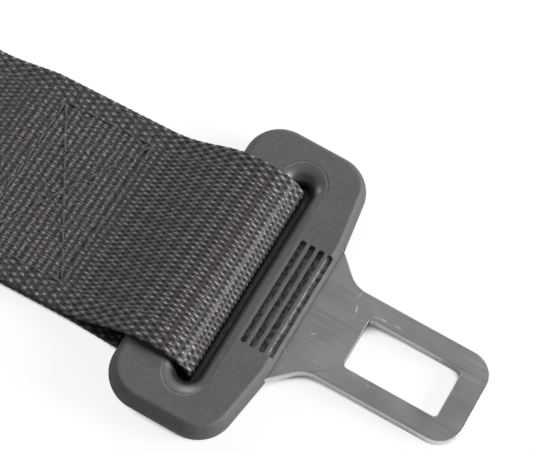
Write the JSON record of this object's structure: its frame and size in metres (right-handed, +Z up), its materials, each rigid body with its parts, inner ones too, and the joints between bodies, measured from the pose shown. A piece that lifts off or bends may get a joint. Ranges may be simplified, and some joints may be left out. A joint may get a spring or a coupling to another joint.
{
  "type": "seat belt latch tongue with webbing",
  "caption": "Latch end of a seat belt: a windowed steel blade in a slotted plastic cover, swinging on a sewn loop of woven webbing.",
  "frame": {"origin": "on the table that the part lies on, under the middle of its bounding box", "axes": "+X the way the blade goes into its buckle, +Y across the webbing, +Z up from the table"},
  "size_m": [0.1374, 0.07, 0.0111],
  "materials": {
    "webbing": "woven polyester belt, charcoal, slight sheen",
    "thread": "twisted black sewing thread",
    "steel": "satin plated steel with light scratches",
    "cover": "fine textured dark grey moulding"
  },
  "bodies": {
    "belt": {"webbing": "webbing", "needle_thread": "thread", "bobbin_thread": "thread"},
    "tongue": {"tongue_plate": "steel", "tongue_cover": "cover"}
  },
  "joints": [
    {"name": "tongue_swing", "type": "hinge", "parent": "belt", "child": "tongue", "pos_m": [0.00766, 0, 0.0053], "axis": [0, 1, 0], "range_deg": [-60, 60], "deforming": ["webbing"]}
  ]
}
